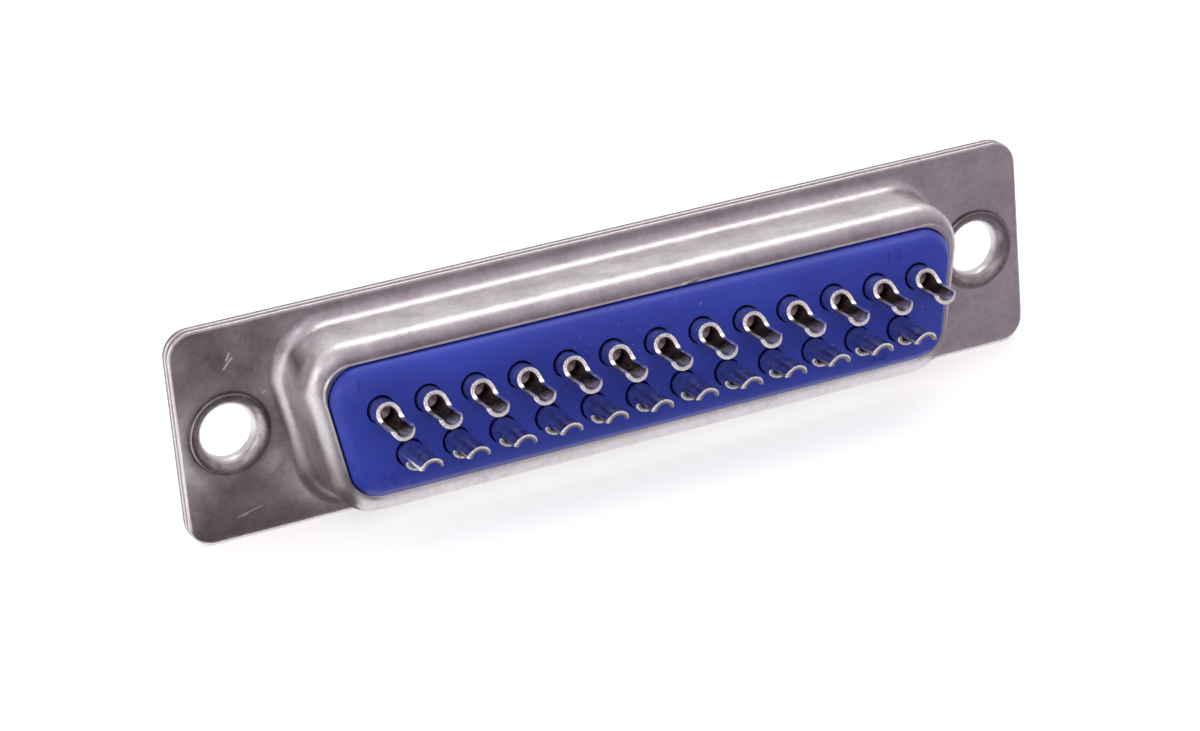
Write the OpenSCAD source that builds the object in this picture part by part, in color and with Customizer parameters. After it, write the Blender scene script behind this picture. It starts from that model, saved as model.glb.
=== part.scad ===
// Twenty-five way D-subminiature connector: socket side, with solder cups.
//
// Sizes are in millimetres. The flange stands upright, with +X along the rows
// and +Z towards the row of thirteen. +Y is the mating direction, so the
// solder cups point to -Y. The origin is the middle of the flange's front face.
//
// Every sub-part is drawn in a layout frame, where x runs along the rows, y is
// up and z is the depth behind the flange's front face. to_row() then stands
// the layout up in the frame above, so a mating part has a negative depth.

/* [Flange] */
// Length of the flange
flange_l = 53; // [51.5:0.1:56]
// Height of the flange
flange_h = 12.5; // [12.4:0.1:15]
// Corner radius of the flange
flange_r = 1.5; // [0.6:0.1:3]
// Thickness of each of the two stacked steel sheets
sheet_t = 0.5; // [0.35:0.05:0.6]
// Distance between the two screw holes
screw_pitch = 47.04; // [46.9:0.02:47.4]
// Diameter of the screw holes
screw_d = 3.1; // [2.7:0.05:3.3]

/* [Eyelets] */
// Wall of the collar that is drawn from the front sheet
collar_t = 0.32; // [0.2:0.02:0.4]
// Width of the lip that is rolled over the rear sheet
lip_w = 0.45; // [0.3:0.05:0.7]
// Height of the rolled lip over the rear sheet
lip_h = 0.2; // [0.16:0.02:0.6]

/* [Hood] */
// Width of the mating hood outside, at half height
hood_w = 37.9; // [37.4:0.1:38.2]
// Height of the mating hood outside
hood_h = 7.9; // [7.7:0.05:8.1]
// Corner radius of the mating hood outside
hood_r = 2.6; // [2.2:0.1:2.9]
// Reach of the hood in front of the flange
hood_reach = 6; // [5.6:0.1:6.4]
// Radius at the hood's root, outside
hood_root_r = 0.25; // [0.15:0.05:0.4]
// Lean of the D's two short sides, in degrees
lean = 10; // [6:1:12]

/* [Rear box] */
// Width of the rear box outside, at half height
box_w = 39.5; // [39:0.1:40]
// Height of the rear box outside
box_h = 10.1; // [10:0.1:10.4]
// Corner radius of the rear box outside
box_r = 2.6; // [2.3:0.1:3]
// Depth of the rear box behind its flange
box_depth = 4.4; // [4:0.1:5]
// Radius at the box's root, outside
box_root_r = 0.9; // [0.6:0.05:0.95]
// Radius of the box's rear shoulder, outside
shoulder_r = 1; // [0.75:0.05:1.1]
// Width of the rear window, at half height
window_w = 37.85; // [37.6:0.05:38]
// Height of the rear window
window_h = 7.8; // [7.7:0.05:7.9]
// Corner radius of the rear window
window_r = 1.85; // [1.5:0.05:2.2]

/* [Insulators] */
// Clearance of each insulator all round in the hood and in the box
fit_gap = 0.06; // [0.03:0.01:0.1]
// Clearance of the rear insulator all round in the window
window_gap = 0.12; // [0.06:0.01:0.2]
// Set-back of the front insulator from the hood's edge
nose_recess = 0.25; // [0:0.05:0.6]
// Thickness of the front insulator's base, behind the front sheet
base_t = 1.8; // [1.5:0.1:2.2]
// Reach of the rear insulator behind the box
neck_reach = 0.9; // [0.7:0.05:1.3]
// Bevel round the rear insulator's face
neck_bevel = 0.55; // [0.2:0.05:0.6]
// Chamfer on the rear insulator's hidden shoulder
heel_chamfer = 0.32; // [0.3:0.02:0.36]

/* [Contacts] */
// Contacts in the upper row
upper_count = 13; // [12:1:13]
// Contacts in the lower row
lower_count = 12; // [11:1:12]
// Distance between neighbours in a row
pitch = 2.77; // [2.74:0.01:2.78]
// Distance between the two rows
row_gap = 2.84; // [2.7:0.02:2.9]
// Bore that takes the mating pin
pin_bore_d = 1.06; // [1.02:0.02:1.1]
// Outside diameter of the socket barrel
barrel_d = 1.8; // [1.6:0.02:1.84]
// Depth of the pin bore
pin_bore_depth = 5.2; // [4.6:0.1:5.5]
// Width of the slot between the socket's two tines
slot_w = 0.22; // [0.14:0.02:0.3]
// Length of that slot
slot_l = 3.8; // [3:0.1:4.4]
// Set-back of the socket's mouth from the insulator's face
mouth_recess = 0.7; // [0.5:0.05:1]
// Diameter of the collar that the insulators trap
collar_d = 2.2; // [2.1:0.02:2.3]
// Width of that collar
collar_w = 1.5; // [1.2:0.1:1.7]
// Clearance round each contact in its cavity
cavity_gap = 0.06; // [0.04:0.01:0.08]
// Diameter of the guide hole in front of each contact
guide_d = 1.24; // [1.16:0.02:1.36]
// Width of the chamfer at each guide hole
guide_chamfer = 0.3; // [0.1:0.05:0.4]

/* [Solder cups] */
// Outside diameter of the cup
cup_d = 1.46; // [1.36:0.02:1.52]
// Wall of the cup
cup_wall = 0.24; // [0.16:0.02:0.3]
// Reach of the cup behind the rear insulator
cup_reach = 3.3; // [2.8:0.1:4]
// Depth of the cup's bore
cup_bore_depth = 3.2; // [2.8:0.1:3.6]
// Length of the cup that is cut open
mouth_l = 1.6; // [1.2:0.1:2]
// Height of the open cup's rim over its axis
rim_rise = -0.12; // [-0.3:0.02:0.1]
// Radius of the cut where the open length begins
arch_r = 0.75; // [0.6:0.05:0.9]
// Radius of the cup's rounded lip
tip_r = 0.4; // [0.2:0.05:0.5]
// Clearance round the cup in the rear insulator
cup_gap = 0.09; // [0.06:0.01:0.12]

/* [Hidden] */

steel = [0.72, 0.70, 0.72];
blue = [0.13, 0.18, 0.62];
tin = [0.80, 0.79, 0.77];

// Overrun of a cut past the face that it leaves
over = 0.5;
// Lap of a formed section on its flange sheet
lap = 0.14;
// Gap between an eyelet's collar and the rear sheet's hole
eyelet_gap = 0.02;
// Rounding at the front of a screw hole, and at a socket's mouth
inlet = 0.15;
lead_in = 0.14;
// Degrees between the points round a formed corner, and along a bend
corner_step = 10;
bend_step = 15;

// Depths behind the flange's front face
rear_sheet_z = sheet_t;
box_root_z = 2 * sheet_t;
rim_z = box_root_z + box_depth;
rim_seat_z = rim_z - sheet_t;
split_z = sheet_t + base_t;
neck_face_z = rim_z + neck_reach;
nose_z = -(hood_reach - nose_recess);
cup_tip_z = neck_face_z + cup_reach;
barrel_mouth_z = nose_z + mouth_recess;
guide_end_z = barrel_mouth_z - cavity_gap;
collar_front_z = split_z - collar_w / 2;
collar_back_z = split_z + collar_w / 2;

// The insides of the formed sheets
hood_in_w = hood_w - 2 * sheet_t / cos(lean);
hood_in_h = hood_h - 2 * sheet_t;
box_in_w = box_w - 2 * sheet_t / cos(lean);
box_in_h = box_h - 2 * sheet_t;
box_in_r = box_r - sheet_t;

cup_r = cup_d / 2;
cup_bore_r = cup_r - cup_wall;
barrel_r = barrel_d / 2;
collar_r = collar_d / 2;
pin_bore_r = pin_bore_d / 2;
eyelet_r = screw_d / 2 + collar_t;

// Width of the box's rear rim before the window is cut
rim_w = (box_h - window_h) / 2 + 0.2;

// ---- The D outline ----

// Centres of the D's four corner arcs, anticlockwise from the upper right
function d_centres(w, h, r) = let(
    y = h / 2 - r,
    x = w / 2 - r / cos(lean),
    dx = y * tan(lean)
) [[x + dx, y], [-x - dx, y], [-x + dx, -y], [x - dx, -y]];

// Where each corner arc starts and ends, in degrees
corner_span = [[-lean, 90], [90, 180 + lean], [180 + lean, 270], [270, 360 - lean]];

// Points round the D, moved outwards by off, at depth z
function d_ring(w, h, r, off, z) = let(c = d_centres(w, h, r)) [
    for (k = [0 : 3])
        let(a0 = corner_span[k][0], a1 = corner_span[k][1], n = round((a1 - a0) / corner_step))
            for (i = [0 : n])
                let(a = a0 + (a1 - a0) * i / n)
                    [c[k][0] + (r + off) * cos(a), c[k][1] + (r + off) * sin(a), z]
];

// The D as a flat shape with true arcs at its corners
module d_shape(w, h, r) {
    c = d_centres(w, h, r);
    polygon([
        for (k = [0 : 3], a = corner_span[k])
            [c[k][0] + r * cos(a), c[k][1] + r * sin(a)]
    ]);
    for (p = c)
        translate(p) circle(r, $fn = 72);
}

// A straight D-shaped block between two depths
module d_block(w, h, r, z0, z1) {
    translate([0, 0, z0]) linear_extrude(z1 - z0) d_shape(w, h, r);
}

// A closed section [outward offset, depth] carried round the D outline
module d_sweep(w, h, r, section) {
    rings = [for (p = section) d_ring(w, h, r, p[0], p[1])];
    m = len(section);
    n = len(rings[0]);
    polyhedron(
        points = [for (ring = rings) each ring],
        faces = [
            for (j = [0 : m - 1], i = [0 : n - 1])
                let(j2 = (j + 1) % m, i2 = (i + 1) % n)
                    [j * n + i, j2 * n + i, j2 * n + i2, j * n + i2]
        ],
        convexity = 6
    );
}

// Points along an arc, for a sheet's section
function bend(centre, r, a0, a1) = let(n = ceil(abs(a1 - a0) / bend_step)) [
    for (i = [0 : n])
        let(a = a0 + (a1 - a0) * i / n) centre + r * [cos(a), sin(a)]
];

// ---- Helpers ----

// Stands the layout up in the row's frame
module to_row() {
    rotate([90, 0, 0]) children();
}

module flange_shape() {
    inner = [flange_l - 2 * flange_r, flange_h - 2 * flange_r];
    square([flange_l, inner[1]], center = true);
    square([inner[0], flange_h], center = true);
    for (x = [-1, 1], y = [-1, 1])
        translate([x * inner[0] / 2, y * inner[1] / 2]) circle(flange_r, $fn = 48);
}

module at_screws() {
    for (x = [-1, 1])
        translate([x * screw_pitch / 2, 0, 0]) children();
}

// Centre of contact n. The upper row is numbered first, from -X to +X
function contact_xy(n) = n <= upper_count
    ? [(n - (upper_count + 1) / 2) * pitch, row_gap / 2]
    : [(n - upper_count - (lower_count + 1) / 2) * pitch, -row_gap / 2];

module at_contacts() {
    for (n = [1 : upper_count + lower_count])
        translate(contact_xy(n)) children();
}

module drill(r, z0, z1) {
    translate([0, 0, z0]) cylinder(h = z1 - z0, r = r, $fn = 48);
}

// Room for the D of a formed sheet's inside, less a clearance all round
module d_core(w, h, r, gap, z0, z1) {
    d_block(w - 2 * gap / cos(lean), h - 2 * gap, r - gap, z0, z1);
}

// ---- Steel shells ----

// A flange sheet with its D opening, which the formed section laps
module flange_sheet(z0, w, h, r, off) {
    difference() {
        translate([0, 0, z0]) linear_extrude(sheet_t) flange_shape();
        d_block(w + 2 * off / cos(lean), h + 2 * off, r + off, z0 - over, z0 + sheet_t + over);
    }
}

// The hood's sheet: straight wall, root bend, and a lap on the flange
hood_section = concat(
    [[-sheet_t, -hood_reach], [0, -hood_reach]],
    bend([hood_root_r, -hood_root_r], hood_root_r, 180, 90),
    [[hood_root_r + lap, 0], [hood_root_r + lap, sheet_t]],
    bend([hood_root_r, -hood_root_r], hood_root_r + sheet_t, 90, 180)
);

// The box's sheet: lap, root bend, straight wall, shoulder and rear rim
box_section = concat(
    [[box_root_r + lap, rear_sheet_z], [box_root_r + lap, box_root_z]],
    bend([box_root_r, box_root_z + box_root_r], box_root_r, 270, 180),
    bend([-shoulder_r, rim_z - shoulder_r], shoulder_r, 0, 90),
    [[-rim_w, rim_z], [-rim_w, rim_seat_z]],
    bend([-shoulder_r, rim_z - shoulder_r], shoulder_r - sheet_t, 90, 0),
    bend([box_root_r, box_root_z + box_root_r], box_root_r + sheet_t, 180, 270)
);

// The collar is drawn from the front sheet and flared over the rear sheet
module eyelet() {
    r = screw_d / 2;
    flare_r = collar_t + lip_w;
    flare_z = box_root_z + lip_h - flare_r;
    rotate_extrude($fn = 72) difference() {
        union() {
            translate([r + collar_t / 2, 0]) square([collar_t / 2 + lip_w, sheet_t]);
            translate([r, 0]) square([collar_t, flare_z]);
            intersection() {
                translate([r + flare_r, flare_z]) circle(flare_r, $fn = 96);
                translate([r, flare_z]) square([flare_r, flare_r]);
            }
        }
        translate([eyelet_r, sheet_t]) square([lip_w + over, sheet_t]);
        translate([r + flare_r, box_root_z + lip_h]) rotate(45) square(lip_h / 2, center = true);
        polygon([[r - over, -over], [r + inlet, -over], [r + inlet, 0], [r, inlet], [r - over, inlet]]);
    }
}

module front_shell() {
    color(steel) to_row() {
        difference() {
            union() {
                flange_sheet(0, hood_w, hood_h, hood_r, hood_root_r + lap / 2);
                d_sweep(hood_w, hood_h, hood_r, hood_section);
            }
            at_screws() drill(eyelet_r + lip_w / 2, -over, sheet_t + over);
        }
        at_screws() eyelet();
    }
}

module rear_shell() {
    color(steel) to_row() difference() {
        union() {
            flange_sheet(rear_sheet_z, box_w, box_h, box_r, box_root_r + lap / 2);
            d_sweep(box_w, box_h, box_r, box_section);
        }
        d_block(window_w, window_h, window_r, rim_seat_z - over, rim_z + over);
        at_screws() drill(eyelet_r + eyelet_gap, rear_sheet_z - over, box_root_z + over);
    }
}

// ---- Insulators ----

module front_insulator() {
    color(blue) to_row() difference() {
        union() {
            d_core(hood_in_w, hood_in_h, hood_r - sheet_t, fit_gap, nose_z, split_z);
            d_core(box_in_w, box_in_h, box_in_r, fit_gap, rear_sheet_z, split_z);
        }
        at_contacts() {
            drill(guide_d / 2, nose_z - over, barrel_mouth_z);
            translate([0, 0, nose_z - over])
                cylinder(h = over + guide_chamfer, r1 = guide_d / 2 + guide_chamfer + over,
                         r2 = guide_d / 2, $fn = 48);
            drill(barrel_r + cavity_gap, guide_end_z, split_z + over);
            drill(collar_r + cavity_gap, collar_front_z, split_z + over);
        }
    }
}

// A D block whose rear edge is bevelled
module bevelled_core(w, h, r, gap, z0, z1, bevel) {
    hull() {
        d_core(w, h, r, gap, z0, z1 - bevel);
        d_core(w, h, r, gap + bevel, z1 - bevel, z1);
    }
}

module rear_insulator() {
    color(blue) to_row() difference() {
        union() {
            bevelled_core(box_in_w, box_in_h, box_in_r, fit_gap, split_z, rim_seat_z, heel_chamfer);
            bevelled_core(window_w, window_h, window_r, window_gap, split_z, neck_face_z, neck_bevel);
        }
        at_contacts() {
            drill(collar_r + cavity_gap, split_z - over, collar_back_z + cavity_gap);
            drill(cup_r + cup_gap, split_z - over, neck_face_z + over);
        }
    }
}

// ---- Contacts ----

// Half section of a contact about its axis, from the socket's mouth to the cup's tip
contact_section = [
    [pin_bore_r + lead_in, barrel_mouth_z],
    [barrel_r - lead_in, barrel_mouth_z],
    [barrel_r, barrel_mouth_z + lead_in],
    [barrel_r, collar_front_z],
    [collar_r, collar_front_z],
    [collar_r, collar_back_z],
    [cup_r, collar_back_z],
    [cup_r, cup_tip_z],
    [cup_bore_r, cup_tip_z],
    [cup_bore_r, cup_tip_z - cup_bore_depth],
    [0, cup_tip_z - cup_bore_depth - cup_bore_r / 2],
    [0, barrel_mouth_z + pin_bore_depth + pin_bore_r / 2],
    [pin_bore_r, barrel_mouth_z + pin_bore_depth],
    [pin_bore_r, barrel_mouth_z + lead_in]
];

// The cut that opens a cup: a straight rim that begins in an arch
module cup_cut() {
    arch_z = cup_tip_z - mouth_l;
    top = cup_r + over;
    rotate([0, -90, 0]) linear_extrude(cup_d + 2 * over, center = true) {
        translate([arch_z, rim_rise]) square([mouth_l + over, top - rim_rise]);
        translate([arch_z, rim_rise + arch_r]) circle(arch_r, $fn = 72);
        translate([arch_z - arch_r, rim_rise + arch_r]) square([arch_r, top]);
    }
}

// The rounding of the open cup's lip, seen along the cut
module lip_cut() {
    rotate([90, 0, 0]) linear_extrude(cup_d + 2 * over, center = true)
        for (x = [-1, 1])
            translate([x * (cup_r - tip_r), cup_tip_z - tip_r]) difference() {
                translate([x < 0 ? -tip_r - over : 0, 0]) square(tip_r + over);
                circle(tip_r, $fn = 48);
            }
}

module contact(n) {
    color(tin) to_row() translate(contact_xy(n))
        rotate(n <= upper_count ? 0 : 180) difference() {
            rotate_extrude($fn = 72) polygon(contact_section);
            translate([-slot_w / 2, -barrel_r - over, barrel_mouth_z - over])
                cube([slot_w, barrel_d + 2 * over, slot_l + over]);
            cup_cut();
            lip_cut();
        }
}

front_shell();
rear_shell();
front_insulator();
rear_insulator();
for (n = [1 : upper_count + lower_count])
    contact(n);
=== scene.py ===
# %% [markdown]
# # A twenty-five way solder-cup connector
#
# The solids come from the CAD model: two formed steel shells, two blue
# insulators and twenty-five contacts. This lesson gives them their finishes
# and worn edges, adds the small moulded numbers, and sets up the light and the
# camera. Lengths are in metres, and MM turns millimetres into them. +X runs
# along the rows, +Y points out of the mating hood, and +Z points to the row of
# thirteen, so the solder cups face -Y. A depth is a distance behind the
# flange's front face, so it grows towards -Y.

# %% Load the solids
import bpy
import bmesh
import math
from mathutils import Euler, Matrix, Vector


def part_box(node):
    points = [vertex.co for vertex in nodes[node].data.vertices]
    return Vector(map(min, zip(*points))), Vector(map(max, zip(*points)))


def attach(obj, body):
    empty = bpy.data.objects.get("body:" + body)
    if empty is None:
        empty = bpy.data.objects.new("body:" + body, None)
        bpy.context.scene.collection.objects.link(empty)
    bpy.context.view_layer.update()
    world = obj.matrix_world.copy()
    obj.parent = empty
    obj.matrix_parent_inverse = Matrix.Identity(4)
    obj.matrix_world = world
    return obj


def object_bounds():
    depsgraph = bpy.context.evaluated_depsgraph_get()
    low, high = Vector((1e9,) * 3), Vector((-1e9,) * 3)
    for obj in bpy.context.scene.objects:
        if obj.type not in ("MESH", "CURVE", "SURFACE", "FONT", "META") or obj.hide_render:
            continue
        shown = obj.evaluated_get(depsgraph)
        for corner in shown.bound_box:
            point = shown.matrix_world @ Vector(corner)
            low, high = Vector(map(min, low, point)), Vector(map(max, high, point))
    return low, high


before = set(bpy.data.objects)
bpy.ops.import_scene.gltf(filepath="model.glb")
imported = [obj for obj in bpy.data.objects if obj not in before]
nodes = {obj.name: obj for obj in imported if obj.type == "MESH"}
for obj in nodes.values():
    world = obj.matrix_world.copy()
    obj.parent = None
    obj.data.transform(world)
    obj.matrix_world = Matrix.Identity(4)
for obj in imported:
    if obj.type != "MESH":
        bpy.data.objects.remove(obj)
cad_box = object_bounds()
scene = bpy.context.scene
MM = 0.001
print("solids:", len(nodes), "box in mm:", [[round(c / MM, 2) for c in p] for p in cad_box])

# %% [markdown]
# ## The camera
#
# A small part is best looked at with a long lens from a little way off, so
# that its two rows stay nearly parallel. Location, turn and lens are plain
# numbers, so the view never depends on anything else in the scene.

# %% Camera
camera_data = bpy.data.cameras.new("camera")
camera_data.lens = 117.463
camera_data.sensor_width = 36
camera_data.clip_start, camera_data.clip_end = 0.01, 20
camera = bpy.data.objects.new("camera", camera_data)
camera.location = Vector((-84.928, -190.6625, 77.809)) * MM
camera.rotation_euler = Euler([math.radians(a) for a in (69.0149, 4.7336, -25.6272)])
scene.collection.objects.link(camera)
scene.camera = camera
print("camera distance in mm:", round(camera.location.length / MM, 1))

# %% [markdown]
# ## Small helpers for node materials
#
# A material is a tree of nodes, and a few helpers keep the recipes short. One
# adds a node and fills in its inputs, and another starts a material and hands
# back its shader. The rest make noise in real millimetres, colour ramps, mixes
# and sums.

# %% Node helpers
MIX_FACTOR, MIX_A, MIX_B, MIX_RESULT = 0, 6, 7, 2    # a Mix node's sockets for colours


def add(tree, kind, inputs=None, **settings):
    """Adds a node. An input's value is a number, a tuple, or another node's socket."""
    node = tree.nodes.new("ShaderNode" + kind)
    for name, value in settings.items():
        setattr(node, name, value)
    for name, value in (inputs or {}).items():
        if isinstance(value, bpy.types.NodeSocket):
            tree.links.new(value, node.inputs[name])
        else:
            node.inputs[name].default_value = value
    return node


def new_material(name):
    material = bpy.data.materials.new(name)
    material.use_nodes = True
    return material, material.node_tree, material.node_tree.nodes["Principled BSDF"]


def noise(tree, size_mm, stretch=(1, 1, 1), detail=4, roughness=0.55):
    """Noise whose patches are about size_mm across, drawn out along the axes by stretch."""
    place = add(tree, "TexCoord").outputs["Object"]
    scale = tuple(1 / (size_mm * MM * s) for s in stretch)
    mapped = add(tree, "Mapping", {"Vector": place, "Scale": scale}).outputs["Vector"]
    return add(tree, "TexNoise", {"Vector": mapped, "Scale": 1.0, "Detail": detail,
                                  "Roughness": roughness}).outputs["Fac"]


def ramp(tree, factor, *stops):
    """A colour ramp from (position, colour) stops. A single number makes a grey."""
    node = add(tree, "ValToRGB", {"Fac": factor})
    elements = node.color_ramp.elements
    while len(elements) < len(stops):
        elements.new(0.5)
    for element, (position, colour) in zip(elements, stops):
        element.position = position
        rgb = colour if isinstance(colour, tuple) else (colour,) * 3
        element.color = (*rgb, 1)
    return node.outputs["Color"]


def mix(tree, factor, a, b, blend="MIX"):
    """Mixes two colours."""
    node = add(tree, "Mix", data_type="RGBA", blend_type=blend)
    for index, value in ((MIX_FACTOR, factor), (MIX_A, a), (MIX_B, b)):
        if isinstance(value, bpy.types.NodeSocket):
            tree.links.new(value, node.inputs[index])
        else:
            node.inputs[index].default_value = value if index == MIX_FACTOR else (*value, 1)
    return node.outputs[MIX_RESULT]


def math_node(tree, operation, *values):
    """A sum of one or two values, each a number or another node's socket."""
    node = add(tree, "Math", operation=operation)
    for index, value in enumerate(values):
        if isinstance(value, bpy.types.NodeSocket):
            tree.links.new(value, node.inputs[index])
        else:
            node.inputs[index].default_value = value
    return node.outputs[0]


def position(tree):
    """A point's place on its piece, split into X, Y and Z, in metres."""
    return add(tree, "SeparateXYZ", {"Vector": add(tree, "TexCoord").outputs["Object"]})


def fade(tree, value, start, end, low=0.0, high=1.0, **settings):
    """Goes from low to high while value goes from start to end."""
    return add(tree, "MapRange", {"Value": value, "From Min": start, "From Max": end,
                                  "To Min": low, "To Max": high}, **settings).outputs[0]


print("helpers ready")

# %% [markdown]
# ## Lines and spots at a known place
#
# A scratch or a stain sits at one place on the part. A node group measures
# how far each point lies from a short line, and fades to nothing at a given
# distance. With both ends at one point it makes a round spot.

# %% Scratch group
NO_LENGTH = 1e-12    # least squared length of a line, so that a spot doesn't divide by zero


def make_scratch_group():
    group = bpy.data.node_groups.new("distance_to_line", "ShaderNodeTree")
    for name in ("Start", "End"):
        group.interface.new_socket(name, in_out="INPUT", socket_type="NodeSocketVector")
    group.interface.new_socket("Width", in_out="INPUT", socket_type="NodeSocketFloat")
    group.interface.new_socket("Mask", in_out="OUTPUT", socket_type="NodeSocketFloat")
    inside = group.nodes.new("NodeGroupInput")
    outside = group.nodes.new("NodeGroupOutput")
    place = add(group, "TexCoord").outputs["Object"]

    def vector(operation, a, b):
        node = add(group, "VectorMath", operation=operation)
        group.links.new(a, node.inputs[0])
        group.links.new(b, node.inputs[1])
        return node.outputs["Value" if operation == "DOT_PRODUCT" else "Vector"]

    from_start = vector("SUBTRACT", place, inside.outputs["Start"])
    along = vector("SUBTRACT", inside.outputs["End"], inside.outputs["Start"])
    length_2 = math_node(group, "MAXIMUM", vector("DOT_PRODUCT", along, along), NO_LENGTH)
    share = math_node(group, "DIVIDE", vector("DOT_PRODUCT", from_start, along), length_2)
    share = add(group, "Clamp", {"Value": share}).outputs["Result"]
    nearest = add(group, "VectorMath", {"Scale": share}, operation="SCALE")
    group.links.new(along, nearest.inputs[0])
    gap = vector("SUBTRACT", from_start, nearest.outputs["Vector"])
    distance = add(group, "VectorMath", operation="LENGTH")
    group.links.new(gap, distance.inputs[0])
    faded = math_node(group, "DIVIDE", distance.outputs["Value"], inside.outputs["Width"])
    mask = math_node(group, "SUBTRACT", 1.0, faded)
    mask = add(group, "Clamp", {"Value": mask}).outputs["Result"]
    group.links.new(mask, outside.inputs["Mask"])
    return group


scratch_group = make_scratch_group()


def line_mask(tree, start, end, width):
    """How near a point is to the line from start to end, all in millimetres."""
    node = tree.nodes.new("ShaderNodeGroup")
    node.node_tree = scratch_group
    node.inputs["Start"].default_value = Vector(start) * MM
    node.inputs["End"].default_value = Vector(end) * MM
    node.inputs["Width"].default_value = width * MM
    return node.outputs["Mask"]


def any_of(tree, masks):
    """The strongest of several masks."""
    strongest = masks[0]
    for mask in masks[1:]:
        strongest = math_node(tree, "MAXIMUM", strongest, mask)
    return strongest


print("scratch group nodes:", len(scratch_group.nodes))

# %% [markdown]
# ## How far a point is from an outline
#
# The flange's sheared edge and the burr round the rear window each follow an
# outline. To find them, a group of nodes works out how far a point lies from a
# D: a flat top and bottom, two leaning sides and round corners. With no lean
# the D is the flange's rectangle. The result is negative inside and zero on
# the outline, in millimetres.

# %% Outline groups
FLANGE_SIZE = (53, 12.5, 1.5)        # length, height and corner radius, in mm
WINDOW_SIZE = (37.85, 7.8, 1.85)     # width at half height, height and radius, in mm
LEAN = 10            # lean of the window's two short sides, in degrees
SCREW_X = 23.52      # distance of each screw hole from the middle, in mm


def make_outline_group(name, width, height, radius, lean):
    """Measures the distance from a D, with its sizes in mm and its lean in radians."""
    group = bpy.data.node_groups.new(name, "ShaderNodeTree")
    group.interface.new_socket("Distance", in_out="OUTPUT", socket_type="NodeSocketFloat")
    place = position(group)
    x = math_node(group, "DIVIDE", math_node(group, "ABSOLUTE", place.outputs["X"]), MM)
    z = math_node(group, "DIVIDE", place.outputs["Z"], MM)
    leaning = math_node(group, "SUBTRACT", math_node(group, "MULTIPLY", x, math.cos(lean)),
                        math_node(group, "MULTIPLY", z, math.sin(lean)))
    side = math_node(group, "SUBTRACT", leaning, width / 2 * math.cos(lean) - radius)
    level = math_node(group, "SUBTRACT", math_node(group, "ABSOLUTE", z), height / 2 - radius)
    out_side, out_level = (math_node(group, "MAXIMUM", v, 0.0) for v in (side, level))
    corner = math_node(group, "SQRT", math_node(group, "ADD",
                       math_node(group, "MULTIPLY", out_side, out_side),
                       math_node(group, "MULTIPLY", out_level, out_level)))
    inner = math_node(group, "MINIMUM", math_node(group, "MAXIMUM", side, level), 0.0)
    distance = math_node(group, "SUBTRACT", math_node(group, "ADD", corner, inner), radius)
    outside = group.nodes.new("NodeGroupOutput")
    group.links.new(distance, outside.inputs["Distance"])
    return group


FLANGE = make_outline_group("flange_outline", *FLANGE_SIZE, 0)
WINDOW = make_outline_group("window_outline", *WINDOW_SIZE, math.radians(LEAN))


def outline_distance(tree, group):
    """How far a point lies outside the group's outline, in millimetres."""
    node = tree.nodes.new("ShaderNodeGroup")
    node.node_tree = group
    return node.outputs["Distance"]


def band(tree, value, low, high, soft):
    """One between low and high, fading to nothing over the width soft."""
    rise = fade(tree, value, low - soft, low)
    fall = fade(tree, value, high, high + soft, 1.0, 0.0)
    return math_node(tree, "MULTIPLY", rise, fall)


def eyelet_distance(tree, place):
    """How far a point lies from the nearer screw hole's axis, in millimetres."""
    x = math_node(tree, "ABSOLUTE", place.outputs["X"])
    x = math_node(tree, "SUBTRACT", x, SCREW_X * MM)
    z = place.outputs["Z"]
    square = math_node(tree, "ADD", math_node(tree, "MULTIPLY", x, x),
                       math_node(tree, "MULTIPLY", z, z))
    return math_node(tree, "DIVIDE", math_node(tree, "SQRT", square), MM)


print("outline groups:", FLANGE.name, WINDOW.name)

# %% [markdown]
# ## Plated steel
#
# Both shells are pressed from tin-plated strip. The plating is satin, cloudy
# and mottled, with faint streaks along the strip and a fine grain. The sheared
# edges are darker, where the plating is thin, and a painted highlight runs
# along the seam where the two sheets meet. Painted shade darkens the crevice
# round each eyelet's lip and the lip itself, the sheet swells a little round
# it, and a small burr stands round the window. Handling has left scratches,
# specks and a dark stain. A nick in the window's upper rim is painted as dark
# shade, and a painted highlight marks a line where the rim is lifted. The nick
# and the line are colour only. The worn corner of the sheared edges is a real
# bevel, added later.

# %% Plated steel material
SHEET = 0.5          # thickness of each of the two sheets, in mm
SEAM_HALF = 0.04     # half the width of the seam between them, in mm
SHEARED = (-0.012, 0.1, 0.01)    # gaps from the outline that count as edge, and their softness
CREVICE_SHADE = (2.12, 2.34, 0.16)     # radii of the painted shade in the crevice round an eyelet, and their softness
LIP_SHADE = (1.75, 2.35, 0.12)         # radii of the painted shade on an eyelet's lip, and their softness
REAR_SHEET = (0.9, 0.97)         # depths between which the eyelets' marks appear, in mm
SWELL = (2.4, 3.7)               # radii between which the swelling round an eyelet fades, in mm
RIM = (5.2, 5.3)                 # depths between which the window's burr appears, in mm
BURR = (0.15, 0.02)              # gaps from the window between which its burr rises, in mm
FINE_RELIEF, SWELL_RELIEF, BURR_RELIEF = 0.00002, 0.00010, 0.00016    # heights, in metres
STREAK_TONE, MOTTLE_TONE, GRAIN_TONE = 0.06, 0.35, 0.20    # how strongly each noise tints
STREAK_HEIGHT, GRAIN_HEIGHT, CLOUD_HEIGHT, MOTTLE_HEIGHT = 0.15, 0.5, 1.5, 1.2
WHITE_MARK = (0.95, 0.94, 0.95)
DARK_STAIN = (0.10, 0.085, 0.085)
# Tone of the painted highlight where the rim is lifted
LIFTED_HIGHLIGHT_TONE = (0.95, 0.93, 0.94)
# Tone of the painted shade in the nick
NICK_SHADE_TONE = (0.02, 0.02, 0.08)

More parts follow.
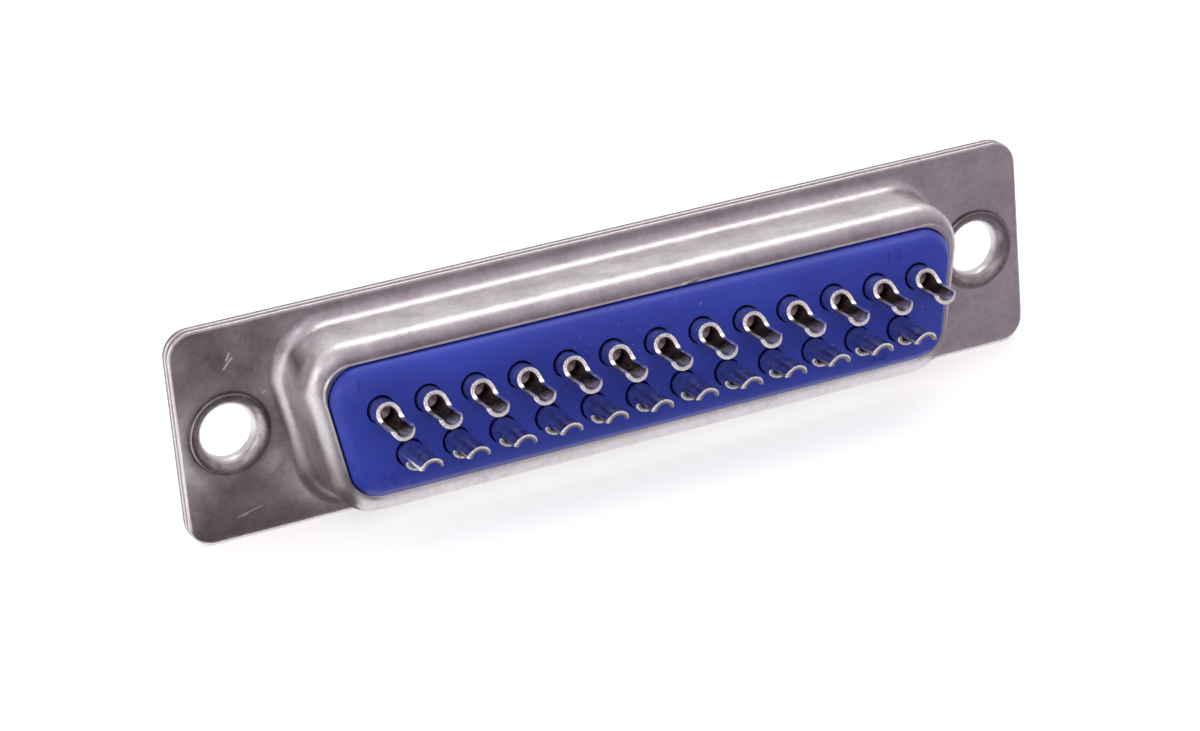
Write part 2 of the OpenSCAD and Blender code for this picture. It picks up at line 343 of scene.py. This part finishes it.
# Each scratch has a start, an end and a width, in mm
SCRATCHES = (
    ((-23.4, -1, 3.75), (-22.9, -1, 4.25), 0.10),
    ((-23.2, -1, 4.2), (-23.0, -1, 4.55), 0.09),
    ((-23.7, -1, -4.95), (-22.2, -1, -4.6), 0.05),
    ((-23.3, -1, -4.95), (-23.1, -1, -4.85), 0.08),
    ((-21.35, -1, 1.85), (-21.2, -1, 1.95), 0.10),
    ((-20.2, -2.9, 1.3), (-19.9, -3.4, 0.8), 0.09),
)
STAIN = ((-19.75, -1.7, 4.0), (-19.85, -3.0, 3.6), 0.9)
# Where the painted highlight of the lifted rim lies
LIFTED_HIGHLIGHT = ((2.3, -5.4, 4.0), (3.2, -5.4, 4.13), 0.10)
# Where the painted shade of the nick lies
NICK_SHADE = ((2.6, -5.4, 3.93), (3.2, -5.4, 4.0), 0.10)

steel, tree, shader = new_material("plated_steel")
shader.inputs["Metallic"].default_value = 1.0
streaks = noise(tree, 0.22, stretch=(9, 1.5, 1), detail=4)
cloud = noise(tree, 2.6, detail=6, roughness=0.68)
mottle = noise(tree, 0.45, detail=5, roughness=0.7)
grain = noise(tree, 0.09, detail=3)

tone = ramp(tree, cloud, (0.3, (0.49, 0.455, 0.475)), (0.7, (0.67, 0.64, 0.66)))
tone = mix(tree, STREAK_TONE, tone, ramp(tree, streaks, (0.3, 0.2), (0.7, 0.8)), "OVERLAY")
tone = mix(tree, MOTTLE_TONE, tone, ramp(tree, mottle, (0.3, 0.3), (0.7, 0.7)), "OVERLAY")
tone = mix(tree, GRAIN_TONE, tone, ramp(tree, grain, (0.3, 0.3), (0.7, 0.7)), "OVERLAY")

place = position(tree)
depth = math_node(tree, "DIVIDE", place.outputs["Y"], -MM)

# The sheared edges
sheared = band(tree, outline_distance(tree, FLANGE), *SHEARED)
sheared_tone = ramp(tree, grain, (0.35, (0.10, 0.082, 0.086)), (0.75, (0.34, 0.30, 0.31)))
tone = mix(tree, sheared, tone, sheared_tone)

# Painted shade in the crevice and on the lip of each eyelet, then a painted highlight along the
# seam between the two sheets
eyelet = eyelet_distance(tree, place)
on_rear = fade(tree, depth, *REAR_SHEET)
# Painted shade in the crevice round each eyelet's lip, broken up by the cloud
crevice_shade = math_node(tree, "MULTIPLY", band(tree, eyelet, *CREVICE_SHADE),
                    ramp(tree, cloud, (0.35, 1.0), (0.65, 0.35)))
crevice_shade = math_node(tree, "MULTIPLY", crevice_shade, on_rear)
tone = mix(tree, math_node(tree, "MULTIPLY", crevice_shade, 0.8), tone, (0.13, 0.10, 0.105))
# Painted shade on each eyelet's lip, broken up by the mottle
lip_shade = math_node(tree, "MULTIPLY", band(tree, eyelet, *LIP_SHADE), on_rear)
lip_shade = math_node(tree, "MULTIPLY", lip_shade, ramp(tree, mottle, (0.35, 0.75), (0.65, 0.25)))
tone = mix(tree, lip_shade, tone, (0.22, 0.19, 0.195))
# A painted highlight along the seam where the two sheets meet, on the sheared edge only
seam_highlight = band(tree, depth, SHEET - SEAM_HALF, SHEET + SEAM_HALF, 0.02)
tone = mix(tree, math_node(tree, "MULTIPLY", sheared, seam_highlight), tone, (0.70, 0.66, 0.68))

# The marks of handling, then the painted highlight of the lifted rim and the painted shade of
# the nick
scratches = any_of(tree, [line_mask(tree, *scratch) for scratch in SCRATCHES])
specks = fade(tree, noise(tree, 0.16, detail=1), 0.71, 0.75)
marks = math_node(tree, "MAXIMUM", math_node(tree, "MULTIPLY", scratches, 0.9),
                  math_node(tree, "MULTIPLY", specks, 0.35))
tone = mix(tree, marks, tone, WHITE_MARK)
stained = math_node(tree, "MULTIPLY", line_mask(tree, *STAIN), 0.85)
tone = mix(tree, stained, tone, DARK_STAIN)
# A painted highlight along the lifted rim
tone = mix(tree, line_mask(tree, *LIFTED_HIGHLIGHT), tone, LIFTED_HIGHLIGHT_TONE)
# Painted shade in the nick
nick_shade = fade(tree, line_mask(tree, *NICK_SHADE), 0.0, 0.5, 0.0, 0.6)
tone = mix(tree, nick_shade, tone, NICK_SHADE_TONE)
tree.links.new(tone, shader.inputs["Base Color"])

rough = ramp(tree, cloud, (0.3, 0.34), (0.7, 0.46))
rough = mix(tree, marks, rough, (0.75, 0.75, 0.75))
tree.links.new(rough, shader.inputs["Roughness"])

# Three bumps on top of each other: the texture, the swelling and the burr
relief = math_node(tree, "ADD", math_node(tree, "MULTIPLY", streaks, STREAK_HEIGHT),
                   math_node(tree, "MULTIPLY", grain, GRAIN_HEIGHT))
relief = math_node(tree, "ADD", relief, math_node(tree, "MULTIPLY", cloud, CLOUD_HEIGHT))
relief = math_node(tree, "ADD", relief, math_node(tree, "MULTIPLY", mottle, MOTTLE_HEIGHT))
fine = add(tree, "Bump", {"Height": relief, "Strength": 0.45, "Distance": FINE_RELIEF})
swell = fade(tree, eyelet, *SWELL, 1.0, 0.0, interpolation_type="SMOOTHSTEP")
swollen = add(tree, "Bump", {"Height": swell, "Strength": 1.0, "Distance": SWELL_RELIEF,
                             "Normal": fine.outputs["Normal"]})
burr = math_node(tree, "MULTIPLY", fade(tree, outline_distance(tree, WINDOW), *BURR),
                 fade(tree, depth, *RIM))
burred = add(tree, "Bump", {"Height": burr, "Strength": 1.0, "Distance": BURR_RELIEF,
                            "Normal": swollen.outputs["Normal"]})
tree.links.new(burred.outputs["Normal"], shader.inputs["Normal"])
print("steel nodes:", len(tree.nodes))

# %% [markdown]
# ## Blue moulded plastic
#
# The insulators are moulded in a deep blue thermoplastic with a slightly
# glossy skin. Its colour drifts a little where the plastic flowed, the surface
# has a fine spark-eroded grain, and a few pale specks of dust lie on it.

# %% Blue plastic material
blue, tree, shader = new_material("blue_moulding")
flow = noise(tree, 3.2, stretch=(2.5, 1, 1), detail=4)
grain = noise(tree, 0.07, detail=2)
tone = ramp(tree, flow, (0.3, (0.019, 0.034, 0.285)), (0.7, (0.028, 0.049, 0.38)))
dust = fade(tree, noise(tree, 0.22, detail=1), 0.75, 0.79)
tone = mix(tree, math_node(tree, "MULTIPLY", dust, 0.25), tone, (0.35, 0.37, 0.60))
tree.links.new(tone, shader.inputs["Base Color"])
tree.links.new(ramp(tree, grain, (0.3, 0.36), (0.7, 0.50)), shader.inputs["Roughness"])
shader.inputs["Specular IOR Level"].default_value = 0.36
bump = add(tree, "Bump", {"Height": grain, "Strength": 0.18, "Distance": 0.00001})
tree.links.new(bump.outputs["Normal"], shader.inputs["Normal"])
print("plastic nodes:", len(tree.nodes))

# %% [markdown]
# ## Bright tinned contacts
#
# The contacts are turned from brass and tinned bright. Turning leaves rings
# round the barrel, and the tin lies a little unevenly, so the reflections
# break up. Each contact stands along Y, so the rings are noise that changes
# quickly along Y only. Inside the cup the tin is painted dark as shade, so the
# material measures how far a point is from its axis, and deep in the bore
# that painted shade is lighter, a painted stand-in for light bounced inside.
# Towards the tip the scoop is frosted. The faces that were sawn, which look
# along -Y, are frosted too, shine less like metal and are painted bright as a
# highlight. Their inner half is painted darker as shade, more so in the lower
# row. The rows stand half a pitch apart, so each row has its own copy of the
# material, and the lower row's copy carries more painted shade.

# %% Tinned contact material
PITCH = 2.77         # distance between neighbours in a row, in mm
ROW_Z = 1.42         # height of the upper row's axes, in mm
CUP_BORE_R = 0.49    # radius of the cup's bore, in mm
SHADE_EDGE = 0.03     # width over which the painted shade inside the cup fades, in mm
CUP_TIP = 9.6        # depth of the cups' tips, in mm
SCOOP = 0.75         # length of the frosted scoop in front of the tip, in mm
DEEP_BOUNCE = (1.9, 1.2)    # distances from the tip between which the lighter painted shade deep in the bore ends, in mm
SAWN = (-0.45, -0.7)         # Y of the normals between which a face turns into a sawn one
SHADED_LIP = (0.09, 0.15)      # distances from the bore where the painted shade on a sawn lip's inner half ends, in mm
FAR_PITCHES = 50.5   # a shift that keeps the remainder's argument above zero


def distance_from_axes(tree, row_z, shift):
    """How far a point lies from the nearest contact axis of one row, in metres."""
    place = position(tree)
    along = math_node(tree, "ADD", place.outputs["X"], (shift + FAR_PITCHES) * PITCH * MM)
    along = math_node(tree, "MODULO", along, PITCH * MM)
    across = math_node(tree, "SUBTRACT", along, PITCH * MM / 2)
    up = math_node(tree, "SUBTRACT", place.outputs["Z"], row_z * MM)
    square = math_node(tree, "ADD", math_node(tree, "MULTIPLY", across, across),
                       math_node(tree, "MULTIPLY", up, up))
    return math_node(tree, "SQRT", square)


def make_tin(name, row_z, shift, kept):
    """The finish of one row. kept is the share of its tone that a lip's inner half keeps under
    its painted shade.
    """
    material, tree, shader = new_material(name)
    rings = noise(tree, 0.10, stretch=(20, 1, 20), detail=3)
    pools = noise(tree, 0.45, detail=4)
    grain = noise(tree, 0.07, detail=3)
    bright = ramp(tree, pools, (0.3, (0.60, 0.59, 0.59)), (0.7, (0.86, 0.85, 0.84)))
    # Painted shade inside the cup
    cup_shade_and_frost = ramp(tree, pools, (0.3, (0.13, 0.108, 0.112)), (0.7, (0.26, 0.235, 0.24)))

    depth = math_node(tree, "DIVIDE", position(tree).outputs["Y"], -MM)
    # Deep in the bore the painted shade is lighter, a painted stand-in for light bounced inside
    # the cup
    shallow = fade(tree, depth, *(CUP_TIP - distance for distance in DEEP_BOUNCE))
    cup_shade_and_frost = mix(tree, shallow, (0.32, 0.27, 0.28), cup_shade_and_frost)
    frosted = ramp(tree, grain, (0.35, (0.30, 0.28, 0.28)), (0.65, (0.86, 0.85, 0.84)))
    # Towards the tip the painted shade gives way to the frosted scoop
    cup_shade_and_frost = mix(tree, fade(tree, depth, CUP_TIP - SCOOP, CUP_TIP), cup_shade_and_frost, frosted)

    from_axis = distance_from_axes(tree, row_z, shift)
    outwards = math_node(tree, "SUBTRACT", from_axis, (CUP_BORE_R + 0.01) * MM)
    outside = math_node(tree, "DIVIDE", outwards, SHADE_EDGE * MM)
    outside = add(tree, "Clamp", {"Value": outside}).outputs["Result"]
    # The bright tin outside the bore, and the painted shade inside it
    tone = mix(tree, outside, cup_shade_and_frost, bright)

    normal = add(tree, "SeparateXYZ", {"Vector": add(tree, "NewGeometry").outputs["Normal"]})
    sawn = math_node(tree, "MULTIPLY", fade(tree, normal.outputs["Y"], *SAWN), outside)
    # Sawn faces are frosted, and painted bright as a highlight
    sawn_frost_and_painted_light = ramp(tree, grain, (0.35, (0.42, 0.40, 0.40)), (0.62, (1.0, 0.99, 0.98)))
    # Painted shade on the inner half of each sawn lip
    unshaded_share = fade(tree, from_axis, *((CUP_BORE_R + gap) * MM for gap in SHADED_LIP), kept)
    sawn_frost_and_painted_light = mix(tree, unshaded_share, (0.10, 0.09, 0.095), sawn_frost_and_painted_light)
    tone = mix(tree, sawn, tone, sawn_frost_and_painted_light)
    tree.links.new(tone, shader.inputs["Base Color"])
    tree.links.new(fade(tree, sawn, 0.0, 1.0, 1.0, 0.35), shader.inputs["Metallic"])
    rough = ramp(tree, pools, (0.3, 0.14), (0.7, 0.28))
    rough = mix(tree, sawn, rough, (0.62, 0.62, 0.62))
    tree.links.new(rough, shader.inputs["Roughness"])

    relief = math_node(tree, "ADD", math_node(tree, "MULTIPLY", rings, 0.1),
                       math_node(tree, "MULTIPLY", pools, 0.35))
    relief = math_node(tree, "ADD", relief, math_node(tree, "MULTIPLY", grain, 0.45))
    bump = add(tree, "Bump", {"Height": relief, "Strength": 0.45, "Distance": 0.00004})
    tree.links.new(bump.outputs["Normal"], shader.inputs["Normal"])
    print(name, "nodes:", len(tree.nodes))
    return material


# The lower row keeps less of its lips' tone, so it carries more painted shade
upper_tin = make_tin("bright_tin_upper", ROW_Z, shift=0, kept=0.8)
lower_tin = make_tin("bright_tin_lower", -ROW_Z, shift=0.5, kept=0.15)

# %% [markdown]
# ## Smooth shading, worn edges and finishes for the solids
#
# The solids arrive as loose triangles with flat shading. Geometry nodes merge
# their corners and smooth every edge that bends less than a set angle, as the
# editor's Shade Auto Smooth does. The plastic has a larger angle than the
# metal, so that its chamfers look rounded.
#
# The shells' sheared edges are worn round. A modifier first dissolves the
# triangles that lie in one plane, so that each edge is a single line. Geometry
# nodes then give a bevel weight of one to the edges that bend sharply, away
# from the screw holes and in front of the box's rim, and a bevel rounds just
# those. The smoothing runs again on the result, and weighted normals keep the
# flat faces flat beside the small rounded ones. All of this is modifiers, so
# the CAD mesh itself stays untouched.

# %% Smooth the solids, wear their edges and give them their finishes
FORMED_BEND = 32     # edges of metal that bend less than this many degrees are smooth
MOULDED_BEND = 50    # edges of plastic that bend less than this are smooth
MERGE_GAP = 1e-7     # corners nearer than this become one, in metres
WORN_BEND = 50       # only edges that bend more than this many degrees are worn
WORN_Y = -4          # and only those in front of the box's rim, so above this Y, in mm
HOLE_ZONE = 2.7      # radius round each screw hole where no edge is worn, in mm
EDGE_WEAR = 0.18     # width of the worn corner along a sheared edge, in mm
FLAT_BEND = 0.5      # faces that bend less than this many degrees are dissolved into one
UPPER_COUNT = 13     # contacts in the upper row


def new_geometry_group(name):
    group = bpy.data.node_groups.new(name, "GeometryNodeTree")
    for way in ("INPUT", "OUTPUT"):
        group.interface.new_socket("Geometry", in_out=way, socket_type="NodeSocketGeometry")
    group.is_modifier = True
    return group


def make_smoother(name, bend):
    """Merges corners, and smooths the edges that bend less than bend, in degrees."""
    group = new_geometry_group(name)

    def node(kind, **settings):
        made = group.nodes.new(kind)
        for setting, value in settings.items():
            setattr(made, setting, value)
        return made

    start, end = node("NodeGroupInput"), node("NodeGroupOutput")
    bare = node("GeometryNodeRemoveAttribute")
    bare.inputs["Name"].default_value = "custom_normal"
    merged = node("GeometryNodeMergeByDistance")
    merged.inputs["Distance"].default_value = MERGE_GAP
    faces = node("GeometryNodeSetShadeSmooth", domain="FACE")
    edges = node("GeometryNodeSetShadeSmooth", domain="EDGE")
    edges.inputs["Shade Smooth"].default_value = False
    angle = node("GeometryNodeInputMeshEdgeAngle")
    sharp = node("FunctionNodeCompare", data_type="FLOAT", operation="GREATER_THAN")
    sharp.inputs[1].default_value = math.radians(bend)
    link = group.links.new
    link(start.outputs[0], bare.inputs["Geometry"])
    link(bare.outputs[0], merged.inputs["Geometry"])
    link(merged.outputs[0], faces.inputs["Geometry"])
    link(faces.outputs[0], edges.inputs["Geometry"])
    link(angle.outputs["Unsigned Angle"], sharp.inputs[0])
    link(sharp.outputs[0], edges.inputs["Selection"])
    link(edges.outputs[0], end.inputs[0])
    return group


def make_edge_picker():
    """Marks every sheared edge for the bevel, and leaves the window's and the holes' edges."""
    group = new_geometry_group("pick_sheared_edges")
    link = group.links.new
    start = group.nodes.new("NodeGroupInput")
    end = group.nodes.new("NodeGroupOutput")
    bend = group.nodes.new("GeometryNodeInputMeshEdgeAngle").outputs["Unsigned Angle"]
    place = add(group, "SeparateXYZ")
    link(group.nodes.new("GeometryNodeInputPosition").outputs[0], place.inputs[0])
    chosen = math_node(group, "GREATER_THAN", bend, math.radians(WORN_BEND))
    for test in (math_node(group, "GREATER_THAN", eyelet_distance(group, place), HOLE_ZONE),
                 math_node(group, "GREATER_THAN", place.outputs["Y"], WORN_Y * MM)):
        chosen = math_node(group, "MULTIPLY", chosen, test)
    store = group.nodes.new("GeometryNodeStoreNamedAttribute")
    store.data_type, store.domain = "FLOAT", "EDGE"
    store.inputs["Name"].default_value = "bevel_weight_edge"
    link(start.outputs[0], store.inputs["Geometry"])
    link(chosen, store.inputs["Value"])
    link(store.outputs[0], end.inputs[0])
    return group


formed = make_smoother("smooth_bends", FORMED_BEND)
moulded = make_smoother("smooth_chamfers", MOULDED_BEND)
edge_picker = make_edge_picker()


def wear_edges(solid):
    """Rounds the edges that edge_picker marks, with modifiers only."""
    flat = solid.modifiers.new("join_flat_faces", "DECIMATE")
    flat.decimate_type = "DISSOLVE"
    flat.angle_limit = math.radians(FLAT_BEND)
    solid.modifiers.new("pick_edges", "NODES").node_group = edge_picker
    worn = solid.modifiers.new("worn_edges", "BEVEL")
    worn.limit_method = "WEIGHT"
    worn.width = EDGE_WEAR * MM
    worn.segments = 3
    worn.use_clamp_overlap = False
    solid.modifiers.new("smooth_wear", "NODES").node_group = formed


for name, solid in nodes.items():
    if "shell" in name:
        finish = steel
    elif "insulator" in name:
        finish = blue
    else:
        finish = upper_tin if int(name.split("_")[1]) <= UPPER_COUNT else lower_tin
    solid.data.materials.clear()
    solid.data.materials.append(finish)
    smoother = moulded if finish == blue else formed
    solid.modifiers.new("smooth_bends", "NODES").node_group = smoother
    if finish == steel:
        wear_edges(solid)
    if finish in (steel, blue):
        even = solid.modifiers.new("even_normals", "WEIGHTED_NORMAL")
        even.keep_sharp = True
print("finished solids:", len(nodes))

# %% [markdown]
# ## Moulded numbers
#
# The ends of both rows carry small raised numbers, so that whoever solders
# the wires can count. They are cut into the mould, so they stand a hair proud
# of the blue face in the same plastic. Text becomes a mesh, and its place is
# applied to the mesh, so that the finished piece sits at the origin.

# %% Raised numbers
FACE_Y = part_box("rear_insulator")[0].y
NUMBER_RISE = 0.00004    # half the thickness of the numbers' plastic, in metres
NUMBER_SIZE = 1.1        # height of the letters' frame, in mm
NUMBERS = (("1", -17.75, 2.95), ("13", 15.2, 2.85), ("14", -16.6, -2.75), ("25", 13.9, -2.75))


def raised_number(words, x, z):
    """A number in blue plastic, centred at x and z in mm."""
    data = bpy.data.curves.new("number_" + words, "FONT")
    data.body = words
    data.size = NUMBER_SIZE * MM
    data.extrude = NUMBER_RISE
    data.align_x, data.align_y = "CENTER", "CENTER"
    flat = bpy.data.objects.new("number_" + words, data)
    mesh = bpy.data.meshes.new_from_object(flat)
    bpy.data.objects.remove(flat)
    turn = Euler((math.pi / 2, 0, 0)).to_matrix().to_4x4()
    mesh.transform(turn)
    mesh.transform(Matrix.Translation((x * MM, FACE_Y, z * MM)))
    mesh.materials.clear()
    mesh.materials.append(blue)
    piece = bpy.data.objects.new("number_" + words, mesh)
    scene.collection.objects.link(piece)
    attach(piece, "root")
    return piece


for words, x, z in NUMBERS:
    piece = raised_number(words, x, z)
    print(piece.name, "faces:", len(piece.data.polygons))

# %% [markdown]
# ## Floor
#
# The floor is pale and plain. Its own glow lifts it to white, a little more in
# reflections than for the camera, and what falls on it still darkens it, so
# the soft shadow stays.

# %% Floor
FLOOR_Z = cad_box[0].z
FLOOR_HALF = 3.0                      # half the floor's width, in metres
SEEN_GLOW, REFLECTED_GLOW = 0.55, 0.85    # strength for the camera and in reflections
shape = bmesh.new()
bmesh.ops.create_grid(shape, x_segments=1, y_segments=1, size=FLOOR_HALF)
bmesh.ops.translate(shape, verts=shape.verts, vec=(0, 0, FLOOR_Z))
floor_mesh = bpy.data.meshes.new("floor")
shape.to_mesh(floor_mesh)
shape.free()
floor = bpy.data.objects.new("floor", floor_mesh)
scene.collection.objects.link(floor)
paper, tree, shader = new_material("pale_floor")
shader.inputs["Roughness"].default_value = 0.9
shader.inputs["Specular IOR Level"].default_value = 0.1
tree.links.new(ramp(tree, noise(tree, 40, detail=2), (0.3, 0.60), (0.7, 0.63)),
               shader.inputs["Base Color"])
ray = add(tree, "LightPath")
reflected = math_node(tree, "MAXIMUM", ray.outputs["Is Glossy Ray"],
                      ray.outputs["Is Transmission Ray"])
strength = math_node(tree, "MAXIMUM",
                     math_node(tree, "MULTIPLY", ray.outputs["Is Camera Ray"], SEEN_GLOW),
                     math_node(tree, "MULTIPLY", reflected, REFLECTED_GLOW))
shader.inputs["Emission Color"].default_value = (1, 1, 1, 1)
tree.links.new(strength, shader.inputs["Emission Strength"])
floor_mesh.materials.append(paper)
print("floor at Z in mm:", round(FLOOR_Z / MM, 2))

# %% [markdown]
# ## Dark card
#
# Polished metal shows what stands round it. A card lies on the floor at the
# cups' side and shows only in reflections: it keeps the faces that look that
# way darker than the walls, as a black card does in a studio. It leaves the
# floor under the box free. Its tone goes from dark at -X to lighter at +X, and
# the change slants, so that it stays upright in what the flange reflects.

# %% Dark card
CARD_OUTLINE = ((-60, -500), (500, -500), (500, -1.15), (19.5, -1.15), (19.5, -8.5),
                (-18.5, -8.5), (-18.5, -4.5), (-15, -1.15), (-28.5, -1.15), (-25.5, -6),
                (-25.5, -22), (-60, -22))    # in mm
CARD_LIFT = 0.0001   # height of the card over the floor, in metres
CARD_SLANT = 0.44    # how much its tone shifts in X for each step in Y
CARD_SPAN = 0.026    # its tone changes between minus and plus this distance, in metres

shape = bmesh.new()
corners = [shape.verts.new((x * MM, y * MM, FLOOR_Z + CARD_LIFT)) for x, y in CARD_OUTLINE]
shape.faces.new(corners)
card_mesh = bpy.data.meshes.new("dark_card")
shape.to_mesh(card_mesh)
shape.free()
card = bpy.data.objects.new("dark_card", card_mesh)
scene.collection.objects.link(card)
card.visible_camera = card.visible_diffuse = card.visible_shadow = False
shade, tree, shader = new_material("dark_card")
shader.inputs["Base Color"].default_value = (0, 0, 0, 1)
shader.inputs["Specular IOR Level"].default_value = 0.0
place = position(tree)
across = math_node(tree, "ADD", place.outputs["X"],
                   math_node(tree, "MULTIPLY", place.outputs["Y"], CARD_SLANT))
across = fade(tree, across, -CARD_SPAN, CARD_SPAN)
glow = ramp(tree, across, (0.0, (0.09, 0.062, 0.072)), (1.0, (0.40, 0.345, 0.40)))
tree.links.new(glow, shader.inputs["Emission Color"])
shader.inputs["Emission Strength"].default_value = 1.0
card_mesh.materials.append(shade)
print("card corners:", len(card_mesh.vertices))

# %% [markdown]
# ## Lamps and surroundings
#
# Large soft lamps stand above and at the left, and a fill at the cups' side
# lights the plastic. The fill gives no highlight, so it leaves the steel
# alone. The surroundings are white on the hood's side and darker on the
# cups' side, most of all near the horizon.

# %% Lamps
HOOD_SIDE = (-0.6, 0.5)      # Y of a direction between which the white side begins
LOW_LIGHT = (0.04, 0.40)     # Z of a direction between which the cups' side gets lighter


def soft_lamp(name, location, size, power):
    """A rectangular lamp that faces the origin. Lengths in metres, power in watts."""
    data = bpy.data.lights.new(name, "AREA")
    data.shape = "RECTANGLE"
    data.size, data.size_y = size
    data.energy = power
    lamp = bpy.data.objects.new(name, data)
    lamp.location = location
    lamp.rotation_euler = (-Vector(location)).to_track_quat("-Z", "Y").to_euler()
    scene.collection.objects.link(lamp)
    return lamp


soft_lamp("overhead", (0.10, 0.12, 0.36), (0.34, 0.12), 0.42)
soft_lamp("left_box", (-0.36, -0.04, 0.14), (0.22, 0.22), 0.3)
soft_lamp("key", (-0.20, -0.30, 0.34), (0.16, 0.16), 0.15)
fill = soft_lamp("front_fill", (-0.10, -0.45, 0.16), (0.30, 0.30), 0.9)
fill.visible_glossy = False

world = bpy.data.worlds.new("studio")
world.use_nodes = True
tree = world.node_tree
towards = add(tree, "SeparateXYZ", {"Vector": add(tree, "TexCoord").outputs["Generated"]})
hood_side = fade(tree, towards.outputs["Y"], *HOOD_SIDE)
height = fade(tree, towards.outputs["Z"], *LOW_LIGHT)
cup_side = ramp(tree, height, (0.0, (0.20, 0.155, 0.17)), (1.0, (0.62, 0.52, 0.58)))
sky = mix(tree, hood_side, cup_side, (1.0, 1.0, 1.0))
background = tree.nodes["Background"]
tree.links.new(sky, background.inputs["Color"])
background.inputs["Strength"].default_value = 1.0
scene.world = world
scene.view_settings.view_transform = "Standard"
